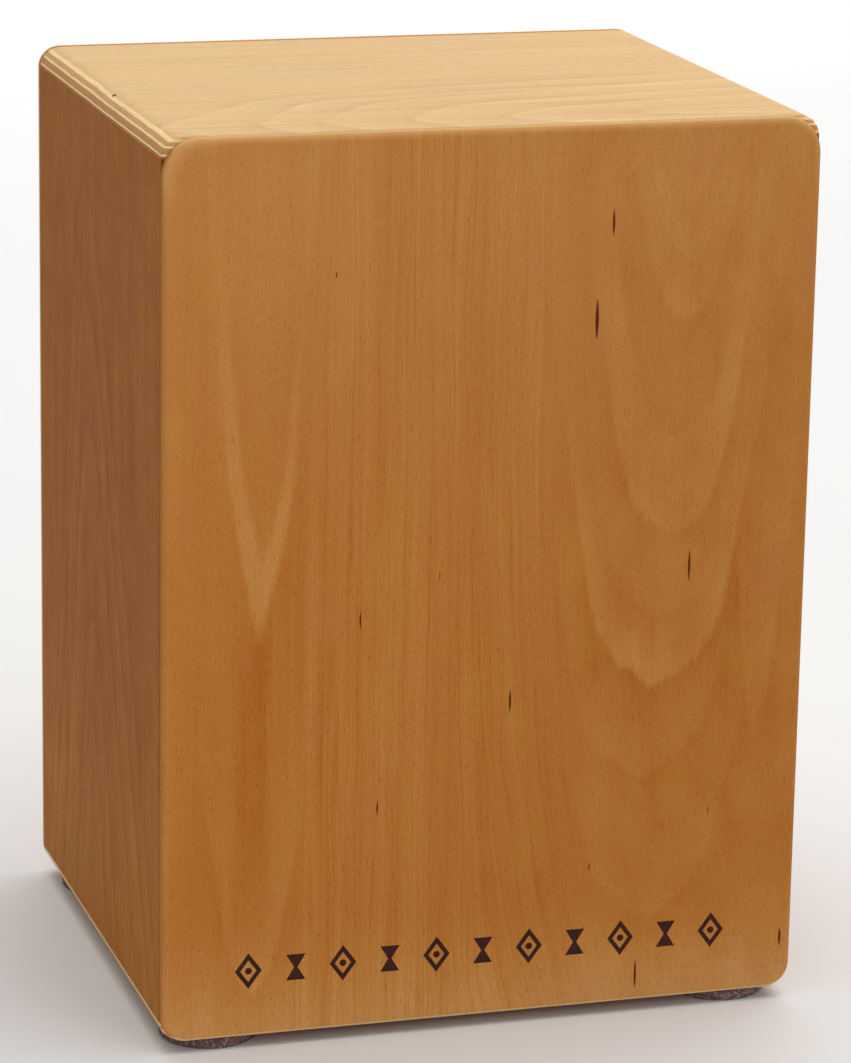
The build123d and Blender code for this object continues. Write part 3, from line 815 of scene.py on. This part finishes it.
def brushed_metal(name, colour, dark, roughness, lines):
    """Plated or ground steel with fine lines and faint stains; lines is a line's size by axis."""
    g = Graph(name)
    x, y, z = (c / size for c, size in zip((g.x, g.y, g.z), lines))
    grain = g.noise(x, y, z, detail=4)
    stain = g.noise(g.x / 5, g.y / 5, g.z / 5, detail=3)
    tone = 0.5 + 0.5 * grain + 1.1 * stain
    tint = g.ramp(tone, ((0.0, dark), (0.6, colour), (1.0, colour)))
    rough = roughness + 0.18 * grain + 0.22 * stain
    return g.finish(tint, rough, grain, bump_mm=0.02, Metallic=1.0)


def nylon():
    """Black moulded nylon with a fine grain."""
    g = Graph("black_nylon")
    fine = g.noise(g.x / 0.35, g.y / 0.35, g.z / 0.35, detail=3)
    cloud = g.noise(g.x / 9, g.y / 9, g.z / 9, detail=2)
    tint = g.ramp(0.5 + fine + cloud, ((0.0, shade(20, 20, 22)), (1.0, shade(52, 52, 55))))
    return g.finish(tint, 0.5 + 0.2 * fine, fine, bump_mm=0.05, Specular_IOR_Level=0.45)


FELT_SHADES = (
    (0.0, shade(54, 30, 30)),
    (0.35, shade(106, 74, 74)),
    (0.6, shade(148, 118, 116)),
    (0.8, shade(196, 172, 168)),
    (1.0, shade(232, 218, 212)),
)


def felt():
    """Dark wool felt: matted fibres of mixed greys and browns."""
    g = Graph("wool_felt")
    twist = 3.0 * g.noise(g.x / 3, g.y / 3, g.z / 3, detail=2)
    one = g.noise(g.x / 0.45 + twist, g.y / 0.9 - twist, g.z / 0.4 + twist, detail=3)
    two = g.noise(g.x / 0.9 - twist, g.y / 0.45 + twist, g.z / 0.5 - twist, detail=3)
    clump = g.noise(g.x / 1.4, g.y / 1.4, g.z / 1.0, detail=3)
    strands = one.abs().step(0.05, 0.0).high(two.abs().step(0.05, 0.0))
    tone = 0.4 + 0.26 * strands + 1.5 * clump + 0.9 * one
    colour = g.ramp(tone, FELT_SHADES)
    height = strands + 2.0 * clump
    return g.finish(
        colour,
        0.95,
        height,
        bump_mm=0.35,
        bump_strength=0.8,
        Specular_IOR_Level=0.1,
        Sheen_Weight=0.25,
        Sheen_Roughness=0.5,
    )


def adhesive():
    """Dark adhesive film between a foot and the box."""
    g = Graph("adhesive_film")
    edge = g.noise(g.x / 1.5, g.y / 1.5, g.z / 0.3, detail=3)
    tint = g.ramp(0.5 + edge, ((0.0, shade(22, 20, 20)), (1.0, shade(60, 55, 52))))
    return g.finish(tint, 0.6 + 0.2 * edge, edge, bump_mm=0.05)


# ---------------------------------------------------------------- finishes on the CAD nodes

def dress(node, material):
    """Gives a CAD node one material all over."""
    mesh = nodes[node].data
    mesh.materials.clear()
    mesh.materials.append(material)
    for polygon in mesh.polygons:
        polygon.material_index = 0


def dress_ornament():
    """Gives the sunk faces of the ornament the burnt finish."""
    mesh = nodes["front_plate"].data
    mesh.materials.append(burnt())
    for polygon in mesh.polygons:
        place = polygon.center / MM
        sunk = FRONT + 0.02 < place.y < FRONT + ORNAMENT_DEPTH + 0.05
        inside = abs(place.x) < ORNAMENT_HALF_WIDTH and ORNAMENT_BOTTOM < place.z < ORNAMENT_TOP
        if sunk and inside:
            polygon.material_index = 1


def dress_boards():
    dress("front_plate", strike_veneer())
    dress_ornament()
    dress("top_panel", top_board())
    dress("bottom_panel", bottom_board())
    dress("left_side", left_board())
    dress("right_side", right_board())
    dress("back_plate", back_board())


def dress_solid_wood():
    spruce = solid_wood("spruce", "xzy", SPRUCE, ring_width=2.6, roughness=0.6, seed=5.0)
    bar = solid_wood("beech_bar", "yzx", RAW_BEECH, ring_width=3.4, roughness=0.5, seed=9.0)
    turned = solid_wood("beech_turned", "xzy", RAW_BEECH, ring_width=3.0, roughness=0.42, seed=15.0)
    dowel = solid_wood("beech_dowel", "xyz", RAW_BEECH, ring_width=2.0, roughness=0.6, seed=19.0)
    for cover in ("top", "bottom"):
        dress(f"{cover}_dowels", dowel)
        for side in ("left", "right"):
            dress(f"batten_{cover}_{side}", spruce)
    dress("snare_bar", bar)
    dress("snare_lever", turned)
    dress("lever_knob", turned)


def dress_hardware():
    zinc = brushed_metal(
        "zinc_plate", shade(196, 198, 202), shade(150, 148, 144), 0.34, (0.5, 0.5, 0.5)
    )
    ground = brushed_metal(
        "ground_steel", shade(178, 178, 180), shade(128, 124, 120), 0.28, (8, 0.3, 0.3)
    )
    nickel = brushed_metal(
        "nickel_plate", shade(205, 201, 192), shade(150, 140, 122), 0.24, (6, 0.4, 0.4)
    )
    for node in ("back_plate_screws", "pivot_block_screws", "snare_plate_screws"):
        dress(node, zinc)
    for node in ("pivot_pin_left", "pivot_pin_right", "stop_pin"):
        dress(node, ground)
    black = nylon()
    for side in ("left", "right"):
        dress(f"snare_plate_{side}", nickel)
        dress(f"pivot_block_{side}", black)
    dress("friction_washers", felt())
    dress("foot_adhesive_discs", adhesive())


# ---------------------------------------------------------------- new pieces

def new_piece(name, mesh, material, body, slot, *replaced):
    """Puts a finished mesh in the scene as a piece that rides on a body."""
    piece = bpy.data.objects.new(name, mesh)
    bpy.context.scene.collection.objects.link(piece)
    mesh.materials.append(material)
    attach(piece, body)
    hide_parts(*replaced)


FELT_POINTS = 96              # round a foot
FELT_CORNER = 0.9             # mm, rounding of its edges
FELT_INSET = 0.2              # mm, room for the matted edge and its fibres inside the outline
FELT_WAVE = 0.22              # mm, how far it is out of round
FELT_ROUGHNESS = 0.16         # mm, how far the matted surface wanders
CORNER_STEPS = 4
WALL_STEPS = 4
FIBRES_PER_FOOT = 520
FIBRE_WIDTH = 0.05
FIBRE_STEPS = 4


def felt_profile(radius, height):
    """Half outline of a felt foot from its top centre to its underside centre, in mm."""
    inner = radius - FELT_CORNER
    points = [(radius * t, height) for t in (0.0, 0.25, 0.5, 0.75, 0.93)]
    for step in range(CORNER_STEPS + 1):
        angle = math.pi / 2 * step / CORNER_STEPS
        z = height - FELT_CORNER * (1 - math.cos(angle))
        points.append((inner + FELT_CORNER * math.sin(angle), z))
    for step in range(1, WALL_STEPS):
        z = FELT_CORNER + (height - 2 * FELT_CORNER) * (1 - step / WALL_STEPS)
        points.append((radius + 0.12 * math.sin(math.pi * step / WALL_STEPS), z))
    for step in range(CORNER_STEPS + 1):
        angle = math.pi / 2 * step / CORNER_STEPS
        z = FELT_CORNER - FELT_CORNER * math.sin(angle)
        points.append((inner + FELT_CORNER * math.cos(angle), z))
    points += [(radius * t, 0.0) for t in (0.93, 0.75, 0.5, 0.25, 0.0)]
    return points


def felt_row(work, luck, drift, centre, radius, ring_radius, z, height):
    """One ring of a felt foot's points, or its single middle point where the ring has closed."""
    row = []
    closed = ring_radius < 0.01
    for number in range(1 if closed else FELT_POINTS):
        angle = 2 * math.pi * number / FELT_POINTS
        wave = sum(
            drift[k] * math.cos((k + 2) * angle + 3 * drift[-1 - k]) / (k + 2) for k in range(6)
        )
        rough = luck.uniform(-FELT_ROUGHNESS, FELT_ROUGHNESS)
        r = ring_radius + ring_radius / radius * (FELT_WAVE * wave + rough)
        dip = abs(rough) * 0.5 if 0.01 < z < height - 0.01 or closed else 0.0
        offset = Vector((r * math.cos(angle), r * math.sin(angle), max(z - dip, 0.0)))
        row.append(work.verts.new((centre + offset) * MM))
    return row


def felt_foot(name, material):
    """A felt foot: a matted disc, cut a little unevenly, with loose fibres round its edge."""
    low, high = box_mm(name)
    centre = Vector(((low.x + high.x) / 2, (low.y + high.y) / 2, low.z))
    radius = (high.x - low.x) / 2 - FELT_INSET
    height = high.z - low.z
    luck = random.Random(name)
    drift = [luck.uniform(-1, 1) for _ in range(12)]
    mesh = bpy.data.meshes.new(name)
    work = bmesh.new()
    rows = []
    for ring_radius, z in felt_profile(radius, height):
        rows.append(felt_row(work, luck, drift, centre, radius, ring_radius, z, height))
    for upper, lower in zip(rows, rows[1:]):
        for number in range(FELT_POINTS):
            following = (number + 1) % FELT_POINTS
            if len(upper) == 1:
                work.faces.new((upper[0], lower[number], lower[following]))
            elif len(lower) == 1:
                work.faces.new((upper[following], upper[number], lower[0]))
            else:
                work.faces.new((upper[following], upper[number], lower[number], lower[following]))
    bmesh.ops.recalc_face_normals(work, faces=work.faces)
    for face in work.faces:
        face.smooth = True
    add_fibres(work, luck, centre, radius, height)
    work.to_mesh(mesh)
    work.free()
    new_piece(f"{name}_disc", mesh, material, "box", "felt", name)


def add_fibres(work, luck, centre, radius, height):
    """Loose wool fibres, as thin curved blades that start on the disc's edge."""
    for _ in range(FIBRES_PER_FOOT):
        angle = luck.uniform(0, 2 * math.pi)
        z = centre.z + luck.uniform(0.3, height - 0.3)
        turn = luck.uniform(-1.0, 1.0)
        rise = luck.uniform(-0.5, 0.5)
        reach = luck.uniform(0.15, 0.42)
        length = luck.uniform(0.8, 2.4)
        blade = []
        for step in range(FIBRE_STEPS + 1):
            t = step / FIBRE_STEPS
            r = radius - 0.15 + reach * math.sin(math.pi * t)
            a = angle + turn * length * t / radius
            along = min(max(z + rise * length * t, centre.z + 0.05), centre.z + height - 0.05)
            outward = Vector((math.cos(a), math.sin(a), 0.0))
            middle = Vector((centre.x, centre.y, along)) + outward * r
            half = FIBRE_WIDTH / 2 * (1 - 0.6 * t)
            down = Vector((0.0, 0.0, -0.6))
            offsets = (Vector((0.0, 0.0, 1.0)), down + outward, down - outward)
            blade.append([work.verts.new((middle + offset * half) * MM) for offset in offsets])
        for first, second in zip(blade, blade[1:]):
            for side in range(3):
                other = (side + 1) % 3
                work.faces.new((first[side], first[other], second[other], second[side]))
        work.faces.new(blade[0][::-1])
        work.faces.new(blade[-1])


WIRE_DIAMETER = 0.5
COIL_DIAMETER = 2.2
COIL_TURN = 1.5               # mm of length to a turn
TURN_STEPS = 10
WIRE_SIDES = 5
COILS_PER_SNARE = 10


def coil_path(x, y, bottom, top):
    """Points along one snare wire, a helix, each with its direction away from the coil's axis."""
    radius = (COIL_DIAMETER - WIRE_DIAMETER) / 2
    turns = (top - bottom - WIRE_DIAMETER) / COIL_TURN
    count = int(turns * TURN_STEPS)
    for step in range(count + 1):
        angle = 2 * math.pi * step / TURN_STEPS
        z = bottom + WIRE_DIAMETER / 2 + COIL_TURN * step / TURN_STEPS
        centre = Vector((x + radius * math.cos(angle), y + radius * math.sin(angle), z))
        outward = Vector((math.cos(angle), math.sin(angle), 0))
        yield centre, outward


def snare_coils(side, material):
    """One row of snare coils, as real helices of spring wire."""
    node = f"snare_coils_{side}"
    low, high = box_mm(node)
    y = (low.y + high.y) / 2
    pitch = (high.x - low.x - COIL_DIAMETER) / (COILS_PER_SNARE - 1)
    mesh = bpy.data.meshes.new(node)
    work = bmesh.new()
    for number in range(COILS_PER_SNARE):
        x = low.x + COIL_DIAMETER / 2 + number * pitch
        rings = []
        for centre, outward in coil_path(x, y, low.z, high.z):
            ring = []
            for corner in range(WIRE_SIDES):
                angle = 2 * math.pi * corner / WIRE_SIDES
                offset = outward * math.cos(angle) + Vector((0, 0, 1)) * math.sin(angle)
                ring.append(work.verts.new((centre + offset * WIRE_DIAMETER / 2) * MM))
            rings.append(ring)
        for first, second in zip(rings, rings[1:]):
            for corner in range(WIRE_SIDES):
                other = (corner + 1) % WIRE_SIDES
                work.faces.new((first[corner], second[corner], second[other], first[other]))
        work.faces.new(rings[0])
        work.faces.new(rings[-1][::-1])
    bmesh.ops.recalc_face_normals(work, faces=work.faces)
    for face in work.faces:
        face.smooth = True
    work.to_mesh(mesh)
    work.free()
    new_piece(f"snare_wires_{side}", mesh, material, "snare_frame", "snare_steel", node)


# ---------------------------------------------------------------- camera, light and floor

CAMERA_PLACE = (-0.5828, -1.9465, 0.7525)
CAMERA_YAW = math.radians(-16.89)      # turned towards +X from straight ahead
CAMERA_PITCH = math.radians(15.20)     # looking down
CAMERA_ROLL = math.radians(-0.99)
CAMERA_LENS = 151.2                    # mm on a 36 mm sensor


def add_camera():
    data = bpy.data.cameras.new("camera")
    data.lens = CAMERA_LENS
    data.sensor_width = 36.0
    data.clip_end = 50.0
    camera = bpy.data.objects.new("camera", data)
    bpy.context.scene.collection.objects.link(camera)
    turn = (
        Matrix.Rotation(CAMERA_YAW, 4, "Z")
        @ Matrix.Rotation(math.pi / 2 - CAMERA_PITCH, 4, "X")
        @ Matrix.Rotation(-CAMERA_ROLL, 4, "Z")
    )
    camera.matrix_world = Matrix.Translation(CAMERA_PLACE) @ turn
    bpy.context.scene.camera = camera


def add_light(name, place, target, size, power, colour=(1.0, 1.0, 1.0)):
    """A soft rectangular light that points from place to target; size is (width, height)."""
    data = bpy.data.lights.new(name, "AREA")
    data.shape = "RECTANGLE"
    data.size, data.size_y = size
    data.energy = power
    data.color = colour
    light = bpy.data.objects.new(name, data)
    bpy.context.scene.collection.objects.link(light)
    light.location = place
    direction = Vector(target) - Vector(place)
    light.rotation_euler = direction.to_track_quat("-Z", "Y").to_euler()


def add_lights():
    middle = (0.0, 0.0, 0.2)
    add_light("overhead", (0.35, -0.1, 2.3), middle, (2.4, 2.4), 36.0, (1.0, 0.985, 0.96))
    add_light("front_right", (0.9, -2.5, 1.2), middle, (1.4, 1.4), 10.2, (1.0, 0.98, 0.95))
    add_light("behind", (0.9, 3.4, 1.1), middle, (3.2, 1.6), 12.0, (1.0, 0.98, 0.95))
    add_light("far_floor", (0.6, 3.0, 2.6), (0.6, 3.0, 0.0), (5.0, 2.6), 60.0)
    world = bpy.data.worlds.new("world")
    world.use_nodes = True
    background = world.node_tree.nodes["Background"]
    background.inputs["Color"].default_value = (0.97, 0.98, 1.0, 1.0)
    background.inputs["Strength"].default_value = 0.42
    bpy.context.scene.world = world


FLOOR_REACH = 14.0
HORIZON_GLOW = 0.08


def add_floor():
    """A wide pale floor, with a faint unevenness in its paint."""
    mesh = bpy.data.meshes.new("floor")
    work = bmesh.new()
    signs = ((-1, -1), (1, -1), (1, 1), (-1, 1))
    work.faces.new([work.verts.new((FLOOR_REACH * x, FLOOR_REACH * y, 0)) for x, y in signs])
    work.to_mesh(mesh)
    work.free()
    floor = bpy.data.objects.new("floor", mesh)
    bpy.context.scene.collection.objects.link(floor)
    g = Graph("pale_floor")
    cloud = g.noise(g.x / 400, g.y / 400, detail=3)
    grain = g.noise(g.x / 2, g.y / 2, detail=3)
    tint = g.ramp(0.5 + cloud, ((0.0, (0.79, 0.79, 0.78)), (1.0, (0.83, 0.83, 0.82))))
    # Far off it glows a little, so that it meets the backdrop without a horizon line.
    far = (g.x * g.x + g.y * g.y).sqrt().step(1500.0, 7000.0)
    g.feed(HORIZON_GLOW * far, g.shader.inputs["Emission Strength"])
    mesh.materials.append(g.finish(tint, 0.9, grain, bump_mm=0.05, Specular_IOR_Level=0.05))


# ---------------------------------------------------------------- build

add_camera()
add_lights()
add_floor()
dress_boards()
dress_solid_wood()
dress_hardware()

felt_material = felt()
for corner in ("front_left", "front_right", "back_left", "back_right"):
    felt_foot(f"felt_foot_{corner}", felt_material)

wire = brushed_metal(
    "spring_wire", shade(208, 205, 198), shade(140, 132, 118), 0.22, (1.0, 1.0, 0.4)
)
for side in ("left", "right"):
    snare_coils(side, wire)

bpy.context.scene.view_settings.view_transform = "Standard"
